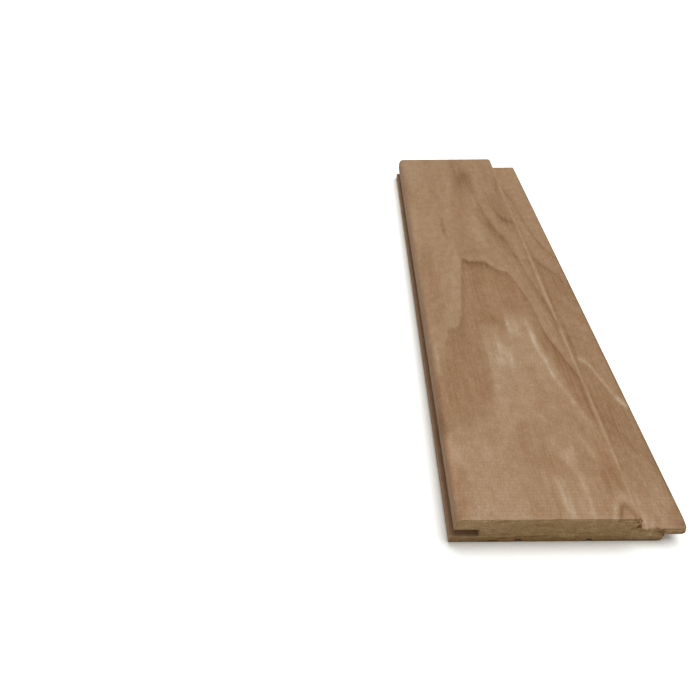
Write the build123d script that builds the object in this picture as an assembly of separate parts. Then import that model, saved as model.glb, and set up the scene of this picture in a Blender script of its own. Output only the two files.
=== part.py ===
from build123d import *

import os
from math import radians, tan

# Tongue and groove cladding board with a wide shadow gap: one moulded length of timber.
# It lies on its back. X runs across the board from the groove to the tongue, Y along the grain,
# and Z up from the flat back to the show face. Sizes are in millimetres.
# The origin is the middle of the board's footprint, on the back face.

# The board
board_length = 320.0
board_thickness = 15.0
cover_width = 82.0  # from one board to the next once they are pushed together

# Tongue, along the right edge
tongue_length = 8.0  # beyond the shoulder
tongue_thickness = 3.9
tongue_bottom = 4.4  # above the back face
tongue_nose_radius = 1.2  # upper corner of the tip
tongue_tip_height = 1.7  # blunt part of the tip, above the bevel
tongue_bevel_length = 1.5  # lead-in under the tip, across the board

# Groove, along the left edge, for the next board's tongue
groove_clearance_above = 0.2
groove_clearance_below = 0.4
groove_clearance_beyond = 3.2  # past the tip of a seated tongue
groove_root_radius = 0.4
groove_mouth_radius = 0.3

# Show face
face_lip_setback = 1.2  # the face lip stops short of the back lip
shadow_gap = 11.1  # open floor between two faces
face_edge_radius = 3.0
groove_side_draft = 5.0  # lean of the wall under the rounded edge, degrees
tongue_side_draft = 10.0
gap_root_radius = 0.5

# Back face
relief_count = 2
relief_spacing = 27.2
relief_offset = 0.6  # the pair sits this much nearer the groove than the cover's middle
relief_width = 2.6
relief_depth = 1.8
relief_root_radius = 0.5
back_arris_radius = 0.4

# Where the edges fall, measured from the back lip on the left and from the back face
total_width = cover_width + tongue_length
tongue_top = tongue_bottom + tongue_thickness
groove_floor = tongue_bottom - groove_clearance_below
groove_roof = tongue_top + groove_clearance_above
groove_end_x = tongue_length + groove_clearance_beyond
gap_wall_x = cover_width + face_lip_setback - shadow_gap
groove_side_lean = (board_thickness - groove_roof) * tan(radians(groove_side_draft))
tongue_side_lean = (board_thickness - tongue_top) * tan(radians(tongue_side_draft))

# Corners of the section in order round it, each with the radius that softens it
section_corners = [
    ((0, 0), back_arris_radius),
    ((0, groove_floor), groove_mouth_radius),
    ((groove_end_x, groove_floor), groove_root_radius),
    ((groove_end_x, groove_roof), groove_root_radius),
    ((face_lip_setback, groove_roof), groove_mouth_radius),
    ((face_lip_setback + groove_side_lean, board_thickness), face_edge_radius),
    ((gap_wall_x - tongue_side_lean, board_thickness), face_edge_radius),
    ((gap_wall_x, tongue_top), gap_root_radius),
    ((total_width, tongue_top), tongue_nose_radius),
    ((total_width, tongue_top - tongue_tip_height), 0),
    ((total_width - tongue_bevel_length, tongue_bottom), 0),
    ((cover_width, tongue_bottom), 0),
    ((cover_width, 0), back_arris_radius),
]


def moulded_outline():
    """The section without its relief grooves, drawn in X and Z with the back lip at zero."""
    with BuildSketch() as section:
        with BuildLine():
            Polyline(*(point for point, radius in section_corners), close=True)
        make_face()
        for point, radius in section_corners:
            if radius > 0:
                fillet(section.vertices().sort_by_distance(point)[0], radius)
    return section.sketch


def relief_groove():
    """Section of one shallow channel in the back, open downwards, with a rounded roof."""
    with BuildSketch() as channel:
        Rectangle(relief_width, 2 * relief_depth)
        fillet(channel.vertices().group_by(Axis.Y)[-1], relief_root_radius)
    return channel.sketch


def board_section():
    """The whole section: the outline less the relief grooves."""
    with BuildSketch() as section:
        add(moulded_outline())
        with Locations((cover_width / 2 - relief_offset, 0)):
            with GridLocations(relief_spacing, 0, relief_count, 1):
                add(relief_groove(), mode=Mode.SUBTRACT)
    return section.sketch


def cladding_board():
    """The section run along the length of the board, centred on its footprint."""
    upright = Plane.XZ.offset(-board_length / 2) * Pos(-total_width / 2, 0)
    board = extrude(upright * board_section(), amount=board_length)
    board.label = "cladding_board"
    return board


os.makedirs("parts", exist_ok=True)
export_step(cladding_board(), "parts/cladding_board.step")
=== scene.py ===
from math import cos, radians, sin

import bpy
import numpy as np
from mathutils import Matrix, Vector, noise
from mathutils.geometry import delaunay_2d_cdt


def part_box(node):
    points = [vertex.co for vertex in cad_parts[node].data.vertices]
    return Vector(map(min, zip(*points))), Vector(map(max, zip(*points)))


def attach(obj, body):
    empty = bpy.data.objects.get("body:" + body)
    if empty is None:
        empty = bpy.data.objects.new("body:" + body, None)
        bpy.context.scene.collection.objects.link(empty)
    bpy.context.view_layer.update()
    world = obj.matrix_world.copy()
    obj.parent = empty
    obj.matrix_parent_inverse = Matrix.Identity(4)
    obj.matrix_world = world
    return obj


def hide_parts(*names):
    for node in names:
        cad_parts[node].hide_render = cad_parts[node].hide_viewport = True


# Lengths are metres in the board's own frame: X from the groove to the tongue, Y along the
# grain away from the end that the photograph shows, Z up from the back to the show face.
# The figure of the wood and its wear are in mm, from the back lip, the front end and the back.
MM = 0.001

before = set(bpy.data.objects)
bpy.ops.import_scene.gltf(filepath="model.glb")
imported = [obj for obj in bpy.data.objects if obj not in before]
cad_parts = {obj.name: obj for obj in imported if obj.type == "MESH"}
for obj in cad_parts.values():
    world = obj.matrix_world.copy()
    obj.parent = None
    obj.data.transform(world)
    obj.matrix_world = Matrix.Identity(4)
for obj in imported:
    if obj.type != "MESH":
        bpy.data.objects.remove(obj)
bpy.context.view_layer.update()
NODE = "cladding_board"
board_low, board_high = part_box(NODE)
board_length = board_high.y - board_low.y
board_thickness = board_high.z - board_low.z


def placed(name, data):
    """A new object in the scene."""
    thing = bpy.data.objects.new(name, data)
    bpy.context.scene.collection.objects.link(thing)
    return thing


# Camera, solved from the photograph's perspective
PHOTO_PIXELS = 700
SENSOR_MM = 36.0
FOCAL_PIXELS = 600.5
PRINCIPAL_ROW = 368.0
CAMERA_PLACE = Vector((-82.13, -286.05, 205.32)) * MM
CAMERA_PITCH = radians(42.198)
CAMERA_YAW = radians(-0.038)
CAMERA_ROLL = radians(-0.482)
NEAREST_SEEN = 10 * MM


def add_camera():
    """The photograph's viewpoint, with its small upward shift."""
    data = bpy.data.cameras.new("photo_camera")
    data.sensor_width = SENSOR_MM
    data.lens = FOCAL_PIXELS / PHOTO_PIXELS * SENSOR_MM
    data.shift_y = (PRINCIPAL_ROW - PHOTO_PIXELS / 2) / PHOTO_PIXELS
    data.clip_start = NEAREST_SEEN
    level = cos(CAMERA_PITCH)
    forward = Vector((sin(CAMERA_YAW) * level, cos(CAMERA_YAW) * level, -sin(CAMERA_PITCH)))
    flat_right = Vector((cos(CAMERA_YAW), -sin(CAMERA_YAW), 0))
    flat_up = flat_right.cross(forward)
    right = flat_right * cos(CAMERA_ROLL) + flat_up * sin(CAMERA_ROLL)
    up = flat_up * cos(CAMERA_ROLL) - flat_right * sin(CAMERA_ROLL)
    axes = Matrix((right, up, -forward)).transposed().to_4x4()
    camera = placed("photo_camera", data)
    camera.matrix_world = Matrix.Translation(CAMERA_PLACE) @ axes
    bpy.context.scene.camera = camera


# Figure of the wood, measured in mm: x from the back lip, y from the front end. Points with x
# above 73 lie on the ledge, the others on the show face. Each growth ring edge has its number
# and the points that it passes through, each with how dark the edge is there.
RING_EDGES = [
    (1.0, [(54, 318, 0.0), (56.5, 275, 0.1), (57.5, 256, 0.15), (58.5, 246, 0.3), (59.5, 236, 0.3),
           (61, 229, 0.5), (63, 225.5, 0.6), (66.5, 222.5, 0.5), (70, 218, 0.4)]),
    (2.0, [(8, 150, 0.0), (20, 205, 0.0), (27, 248, 0.0), (36, 280, 0.0), (43, 297, 0.1),
           (48, 290, 0.1), (49, 265, 0.2), (50.2, 245, 0.2), (51.2, 232, 0.2), (53.5, 219, 0.2),
           (56, 209, 0.2), (58.3, 200, 0.3), (60.2, 190, 0.45), (61.7, 178, 0.5), (63.2, 166, 0.5),
           (64.5, 154, 0.6), (66.2, 141, 0.7), (67.8, 129, 0.7), (68.8, 119, 0.6),
           (70.5, 108, 0.5)]),
    (3.0, [(3, 80, 0.0), (7, 98, 0.1), (12.8, 112.5, 0.4), (18, 113, 0.4), (20, 117, 0.35),
           (21.7, 127, 0.35), (23.5, 139, 0.35), (25.2, 151, 0.35), (26.8, 163, 0.4),
           (28.2, 174, 0.6), (29.2, 178.5, 1.0), (31, 177.5, 1.0), (33.5, 175.6, 1.0),
           (38, 175, 1.0), (41.3, 175, 1.0), (43, 172, 1.0), (45.5, 168.5, 1.0),
           (48.5, 165.4, 1.0), (51.5, 164, 1.0), (53, 163.5, 1.0), (54.3, 158, 0.8),
           (55.9, 151, 0.8), (57.9, 142, 0.8), (59.2, 133, 0.7), (60, 122, 0.7),
           (61.1, 110, 0.8), (62.8, 101, 0.8), (64.7, 93, 0.8), (66.7, 85, 0.8), (68.3, 78, 0.7),
           (69.5, 70, 0.6), (71, 62, 0.5)]),
    (3.55, [(33, 78, 0.0), (35, 88, 0.0), (38, 100, 0.0), (42, 114, 0.0), (45, 125, 0.0),
            (50, 128, 0.0), (53, 123, 0.0), (54, 109, 0.0), (55.8, 91, 0.0), (59.6, 72, 0.0),
            (64, 56, 0.0), (68, 46, 0.0), (72, 38, 0.0)]),
    (4.5, [(40, 2, 0.0), (44, 15, 0.0), (47, 32, 0.0), (52, 40, 0.0), (57, 40, 0.0),
           (60, 33, 0.0), (62, 24, 0.0), (64, 12, 0.0)]),
    (1.0, [(75, 281, 0.4), (76.7, 275, 0.5), (78, 262, 0.4), (78.3, 250, 0.4), (79, 238, 0.4),
           (80.2, 226, 0.5), (81.8, 213, 0.6), (83.8, 204, 0.7), (86, 198, 0.7), (88.5, 190, 0.6)]),
    (2.0, [(75.3, 190, 0.4), (77, 186, 0.6), (79.5, 181.5, 0.6), (82, 177, 0.6), (84, 172.5, 0.6),
           (86, 167, 0.5), (88, 160, 0.4), (90, 154, 0.3)]),
    (3.55, [(74.5, 96, 0.0), (77, 96.5, 0.0), (79, 94.5, 0.0), (81, 88.5, 0.0), (83, 80.5, 0.0),
            (85, 72, 0.0), (87, 66.5, 0.0), (90, 61, 0.0)]),
]
RING_PITCH = 7.0  # mm from one growth ring to the next, down through the board
GRAIN_STRETCH = 3.0  # the figure is drawn out this much along the grain
LEDGE_FROM = 73.0  # mm across the board
LEDGE_HEIGHT = 8.3
DEEP_EDGE = 0.35  # darkness of the ring edges below the ledge's height
EDGE_BLEND = 2.0  # mm squared, within which the darkness of neighbouring points blends
STROKE_DEPTH = 5.0  # mm that a stroke reaches down into the wood

# Soft strokes of darker wood, or of lighter wood where the strength is below zero, some of them
# painted shade or painted light as marked: half width in mm, strength, and points as above
STAINS_AND_SHADE = [
    (1.0, 0.12, [(29.6, 177.5), (31.2, 176.5)]),
    (0.7, 0.30, [(31, 175.3), (34, 174.3), (41, 174.3), (42.5, 172)]),
    (1.2, 0.07, [(32, 171), (41, 171)]),
    (0.9, 0.14, [(42.5, 172), (44.5, 168.5), (47, 166), (50.5, 162.5), (52.3, 163)]),
    (1.1, 0.08, [(45, 166.5), (47, 165)]),
    (0.8, 0.07, [(53.5, 160), (55, 153)]),
    (0.9, 0.14, [(55.2, 150), (56.6, 144.5), (57.7, 140)]),
    (0.9, 0.07, [(57.8, 140), (58.6, 134), (59.3, 126)]),
    (0.8, 0.08, [(59.3, 122), (60, 112), (60.8, 106)]),
    (0.9, 0.15, [(60.9, 105.5), (61.8, 101), (63, 97)]),
    (0.9, 0.08, [(63, 97), (64.7, 91)]),
    (0.6, 0.17, [(65.3, 88), (66.4, 83)]),
    (0.8, 0.12, [(67.3, 80), (67.8, 76), (68, 68), (67.9, 58), (68.1, 49)]),
    (1.1, 0.08, [(28, 172), (27, 162), (26, 153), (25, 145), (23.7, 137), (22.3, 130),
                 (21.2, 122), (20.2, 116)]),
    (0.8, 0.10, [(18.6, 114), (20.2, 119)]),
    (0.5, 0.13, [(12.8, 112), (18.5, 112)]),
    (1.3, 0.10, [(48.6, 277), (49, 266), (49.8, 252), (50.3, 240)]),
    (1.6, 0.12, [(50.3, 237), (51.5, 226), (53.5, 217), (55.5, 209), (57.3, 202)]),
    (1.4, 0.14, [(52.4, 219), (54.2, 211)]),
    (2.5, 0.12, [(49.5, 238), (50.5, 226), (52.3, 217), (54.3, 209), (56, 202)]),
    (1.6, 0.13, [(57.3, 202), (58.5, 197), (59.7, 190), (60.5, 184)]),
    (1.0, 0.03, [(57, 203), (58.5, 198)]),
    (2.0, 0.08, [(19, 285), (19.5, 268)]),
    (1.2, 0.10, [(76.5, 180), (80, 175.5)]),
    (1.1, 0.12, [(60.8, 182), (61.5, 177), (62.3, 171), (63, 164), (63.6, 157)]),
    (1.1, 0.13, [(63.7, 156), (64.6, 150), (65.5, 144), (66.4, 137)]),
    (1.0, 0.14, [(66.4, 137), (67.2, 130), (68, 123), (68.3, 116)]),
    (1.7, 0.10, [(57.5, 257), (58.3, 248), (59, 240), (60, 233)]),
    (1.3, 0.24, [(60.3, 232), (62, 226.5), (63.5, 225)]),
    (1.5, 0.24, [(62, 226), (64, 224.5), (66.5, 222.5)]),
    (1.5, 0.06, [(45, 291), (47, 293)]),
    (2.0, 0.07, [(41.5, 279), (41.5, 290)]),
    (1.4, 0.08, [(48, 278), (48.8, 268)]),
    (1.0, 0.14, [(40.4, 298), (40.3, 311)]),
    (1.5, 0.10, [(39, 309), (38.5, 319)]),
    (1.5, 0.09, [(33.5, 245), (34, 252)]),
    (1.5, 0.08, [(36.5, 263), (37.6, 273)]),
    (2.4, 0.12, [(4.5, 273), (5.2, 264), (6.4, 254), (7, 245)]),
    (2.0, 0.09, [(3, 302), (3, 288), (3.5, 277)]),
    (2.0, 0.07, [(20, 262), (21.6, 257)]),
    (1.1, 0.33, [(22.6, 225), (22.3, 218), (22.4, 210)]),
    (1.4, 0.06, [(21.5, 212), (22.5, 207)]),
    (0.8, 0.13, [(28.2, 182), (28.6, 187)]),
    (1.2, 0.07, [(31, 212), (35, 216)]),
    (0.9, 0.12, [(67.8, 306), (67.6, 286), (67.1, 272)]),
    (1.0, 0.07, [(66.5, 262), (66.8, 256)]),
    (0.5, 0.24, [(68.0, 183), (68.2, 205)]),
    (0.8, 0.08, [(68.2, 207), (68.2, 224)]),
    (0.6, 0.10, [(13, 143), (12.9, 131)]),
    (1.3, 0.07, [(9.7, 165), (9, 152)]),
    (0.9, 0.07, [(26.8, 158), (26.5, 154)]),
    (1.2, 0.08, [(32.5, 156), (36, 155.5)]),
    (0.9, 0.06, [(31.5, 151.5), (34, 151)]),
    (1.2, 0.06, [(33.5, 161), (36, 162.5)]),
    (0.9, 0.09, [(46.5, 136.5), (49.5, 137)]),
    (0.9, 0.09, [(48, 131), (51, 131.5)]),
    (1.2, 0.09, [(35.5, 119.5), (37.5, 117.5)]),
    (0.4, 0.12, [(25.1, 114), (25.7, 117.5)]),
    (0.9, 0.10, [(8.3, 118), (8.8, 118.5)]),
    (0.9, 0.08, [(16.5, 107.5), (18.5, 106.5)]),
    (1.0, 0.10, [(9.8, 80), (10.2, 84)]),
    (0.7, 0.07, [(12, 89), (12.5, 93)]),
    (1.8, 0.20, [(1.8, 51), (3, 45.5)]),
    (0.8, 0.13, [(1.3, 51), (1.8, 47)]),
    (1.1, 0.08, [(5.5, 51), (10, 52), (15, 51)]),
    (0.6, 0.12, [(4.2, 12), (4.5, 15.5)]),
    (0.8, 0.08, [(6.8, 20), (7, 21.5)]),
    (0.8, 0.12, [(41.8, 33.5), (42.3, 34.5)]),
    (0.5, 0.12, [(49.5, 19.5), (49.7, 21)]),
    (0.4, 0.14, [(58.3, 27), (58.6, 33)]),
    (0.7, 0.08, [(58.8, 43), (61, 44)]),
    (0.6, 0.07, [(47, 3), (47.2, 10)]),
    (0.5, 0.40, [(62.3, 0.5), (63.7, 4), (65.2, 5.8), (66.8, 4.5), (68, 1)]),
    (1.5, 0.14, [(75, 280), (76.5, 274), (78, 260), (78.2, 248)]),
    (1.5, 0.11, [(78.5, 240), (79.5, 228), (81, 215), (83, 204), (85.5, 199), (88, 191)]),
    (2.2, 0.12, [(75.5, 187), (77.5, 182), (80, 177), (82.5, 172), (85, 166), (88, 158)]),
    (1.0, 0.12, [(75.5, 189), (77, 185), (79, 181)]),
    # painted shade: a dark line at the root of the ledge, beside the wall
    (0.9, 0.10, [(75, 205), (75.3, 118), (75, 98)]),
    (1.1, 0.07, [(75.5, 116), (76, 104)]),
    # painted shade: a dark line at the root of the ledge, beside the wall
    (0.8, 0.12, [(74.8, 76), (75, 44)]),
    (1.4, 0.07, [(75.5, 92), (77.5, 89)]),
    (0.7, 0.14, [(89.4, 0), (89.4, 320)]),
    (0.5, 0.30, [(89.0, 0), (89.0, 150), (89.4, 200)]),
    (0.9, 0.08, [(67.8, 60), (68, 190)]),
    (3.0, 0.06, [(34, 62), (36, 70)]),
    (1.0, 0.12, [(69.3, 68), (69.3, 82)]),
    (2.0, 0.08, [(46.5, 125), (50, 126)]),
    (1.5, 0.08, [(24, 150), (24.5, 168)]),
    (1.6, -0.10, [(64, 182), (63.5, 203)]),
    (0.8, -0.10, [(69, 170), (69, 179)]),
    (1.8, 0.09, [(38.5, 190), (39.5, 198)]),
    (1.5, 0.07, [(49, 203), (49.5, 208)]),
    (2.0, 0.08, [(34, 222), (34.5, 230)]),
    (1.6, 0.11, [(39, 250), (39.5, 259)]),
    (2.5, 0.07, [(4, 262), (9, 268)]),
    (1.8, 0.09, [(65, 262), (68, 280)]),
    (2.5, 0.06, [(61, 282), (63, 306)]),
    (0.8, 0.22, [(85.5, 0), (88.6, 2)]),
    # painted shade: the outer side of the right rounded edge, turned from the light, and the ledge's
    # root below it (these two)
    (1.0, 0.22, [(71.7, 8), (71.7, 320)]),
    (0.6, 0.13, [(73, 7), (73, 12)]),
    (0.7, 0.14, [(69, 1.5), (69, 5)]),
    (0.5, 0.10, [(63.8, 3.4), (64.2, 4.6)]),
    # painted light: these three lighten the left rounded edge; with the redder tints at x 3 they also
    # stand in for warm light bounced from a neighbouring board
    (1.6, -0.25, [(3, 38), (3, 12)]),
    (1.8, -0.17, [(3, -2), (3, 70)]),
    (1.8, -0.085, [(3, 72), (3, 210)]),
]

# Soft strokes of redder wood, or of paler wood where the strength is below zero, some of them painted
# light as marked
TINTS_AND_LIGHT = [
    (1.3, -0.28, [(53.4, 118), (53.7, 112), (54, 105)]),
    (1.25, -0.37, [(53.9, 106), (54.4, 98), (55.2, 92), (56.2, 86), (57, 80)]),
    (0.5, -0.08, [(53.9, 104), (54.3, 99)]),
    (0.5, -0.08, [(55.6, 91), (56.5, 86)]),
    (0.8, -0.28, [(57, 79), (58.3, 73), (59.5, 68.5), (60.8, 64), (61.5, 61.5)]),
    (0.9, -0.12, [(62, 59), (64, 52), (66, 47)]),
    (0.6, -0.24, [(36.1, 99), (36.6, 96)]),
    (1.0, -0.08, [(38, 92), (40.5, 88)]),
    (1.1, -0.12, [(43.8, 117), (44.6, 111)]),
    (0.9, -0.10, [(47.5, 117), (47.2, 109)]),
    (0.6, -0.14, [(43.2, 106), (42.3, 98)]),
    (1.0, -0.08, [(30, 96), (30.3, 88)]),
    (1.2, -0.09, [(33, 89), (32.5, 80)]),
    (0.9, -0.16, [(4.3, 98), (4.6, 90), (4.2, 81)]),
    (2.4, -0.08, [(4, 104), (7, 102)]),
    (1.3, -0.13, [(4, 38), (5.5, 33), (6.5, 29)]),
    (1.2, -0.06, [(17.5, 32), (20, 33)]),
    (3.0, -0.06, [(9, 3), (14, 10)]),
    # painted light: warm light bounced onto the left rounded edge (these three), with the lighter
    # stains at x 3
    (1.6, 0.11, [(3, 38), (3, 12)]),
    (1.8, 0.18, [(3, -2), (3, 70)]),
    (1.8, 0.09, [(3, 72), (3, 210)]),
    (1.2, -0.10, [(59.3, 85), (60.5, 75), (61.5, 68)]),
    (3.0, -0.06, [(3, 165), (4, 120)]),
    (1.0, -0.08, [(14, 2), (26, 2)]),
    (0.5, -0.08, [(21.5, 19), (21.6, 15)]),
    (0.7, -0.07, [(23.8, 40), (24, 32)]),
    (1.2, -0.07, [(28, 44), (29, 43)]),
    (1.2, -0.14, [(43.2, 16), (43.7, 8), (44.5, 3)]),
    (1.6, -0.18, [(43.8, 9.5), (44.8, 6)]),
    (1.2, -0.10, [(45.5, 9), (46, 4)]),
    (0.9, -0.24, [(52.8, 18), (53.2, 9), (52.8, 1)]),
    (0.9, -0.08, [(49.5, 8), (49.5, 1)]),
    (0.9, -0.08, [(38.5, 20), (39, 6)]),
    (1.6, -0.18, [(46.3, 37), (48, 33), (49.5, 30)]),
    (1.2, -0.22, [(51, 31), (53.3, 31)]),
    (1.1, -0.12, [(50.5, 27), (51.8, 24.5)]),
    (1.2, -0.10, [(53, 33), (54.3, 38)]),
    (0.6, -0.18, [(59.3, 37), (60, 33), (61, 29.5)]),
    (0.6, -0.11, [(61.5, 27), (60.7, 22)]),
    (1.0, -0.08, [(57.5, 43), (58.5, 40)]),
    (0.4, -0.20, [(65.5, 47.5), (65.7, 49)]),
    (1.2, -0.08, [(63.7, 52), (64.2, 50)]),
    (0.8, -0.26, [(60, 0), (61.3, 4), (63.3, 8), (66, 9.5), (68.5, 8.5), (69.3, 4)]),
    # painted highlight along the right rounded edge (these four)
    (0.7, -0.22, [(69.5, 12), (69.5, 60), (69.6, 110)]),
    (0.7, -0.14, [(69.6, 112), (69.3, 158)]),
    (0.7, -0.10, [(69.3, 160), (69.4, 200), (69.2, 240), (69.2, 312)]),
    (1.0, -0.14, [(69, 132), (69, 147), (69.2, 160)]),
    (1.2, -0.10, [(18.5, 158.5), (21.5, 160)]),
    (1.0, -0.07, [(13, 170), (13, 167)]),
    (3.6, -0.10, [(41, 213), (43, 207), (45, 202)]),
    (1.6, -0.08, [(43, 229), (45, 226)]),
    (1.0, -0.13, [(31, 281), (33, 276), (32, 270), (31, 264), (30.7, 255)]),
    (1.5, -0.10, [(54, 300), (54.5, 287), (53.5, 275), (54, 262)]),
    (0.9, -0.09, [(3.3, 207), (3.8, 200)]),
    (1.0, 0.07, [(37, 250), (36, 238), (34.5, 224)]),
    (1.0, 0.12, [(61, 180), (61, 174)]),
    (0.9, 0.08, [(57.5, 104), (58.5, 96)]),
    (1.5, 0.08, [(62.5, 95), (64.5, 86)]),
    (0.8, 0.12, [(67.6, 113), (67.3, 106)]),
    (0.7, 0.10, [(64.3, 142), (63.8, 136)]),
    (1.6, 0.08, [(13.5, 102), (15, 105)]),
    (2.0, 0.10, [(5, 2), (5.5, 20)]),
    (1.3, 0.13, [(34, 28), (34, 35)]),
    (1.3, 0.10, [(34, 42), (35.5, 46)]),
    (0.8, 0.09, [(36.3, 20), (36.2, 29)]),
    (2.2, 0.10, [(41, 26), (45, 24), (48, 22.5)]),
    (2.5, 0.07, [(42, 44), (44, 32)]),
    (2.4, 0.10, [(48, 79), (49.5, 66)]),
    (1.6, 0.07, [(30.5, 3), (34, 5)]),
    (1.8, 0.10, [(65, 26), (66.5, 21)]),
    (1.2, 0.08, [(62, 18), (66, 19)]),
    (0.6, 0.08, [(40.2, 2), (40.6, 14)]),
    (0.7, -0.44, [(76, 96.5), (77.5, 95.5), (79, 93.5), (80.3, 90), (81.5, 85), (82.8, 80),
                  (84, 75), (85.3, 70), (86.8, 66.5), (88.3, 64)]),
    (1.0, -0.20, [(86, 67.5), (87.5, 65.5)]),
    (1.2, -0.16, [(74.5, 12), (75.5, 4), (78, 2)]),
    (0.6, -0.24, [(74.2, 7), (74, 1.5)]),
    (0.6, -0.20, [(76.6, 0.6), (77.4, 2.4)]),
    (0.7, -0.14, [(80.6, 12), (80.9, 9)]),
    (1.6, -0.06, [(82, 127), (86, 121)]),
    (1.2, -0.10, [(34, 283), (34.5, 270)]),
    (1.0, -0.12, [(76.6, 262), (77, 238), (77.4, 215)]),
    (1.6, -0.11, [(78, 292), (82, 283)]),
    (2.5, -0.08, [(19.5, 66), (20, 54)]),
    (1.2, -0.08, [(59, 90), (60, 80)]),
    (1.2, -0.09, [(49, 165.5), (52, 163.5)]),
    (2.0, -0.07, [(4, 120), (9, 130)]),
    (2.2, -0.09, [(39, 118), (39.5, 130)]),
    (3.0, -0.07, [(39, 152), (44, 168)]),
    (2.0, -0.10, [(44, 201), (44, 210)]),
    (2.0, -0.09, [(4, 211), (4.5, 228)]),
    (2.0, -0.09, [(44, 230), (44, 240)]),
    (1.5, -0.08, [(34, 270), (34.5, 281)]),
    (0.7, 0.22, [(77.6, 0), (79, 4)]),
    (1.0, 0.16, [(84.5, 3), (88.5, 9)]),
]

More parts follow.
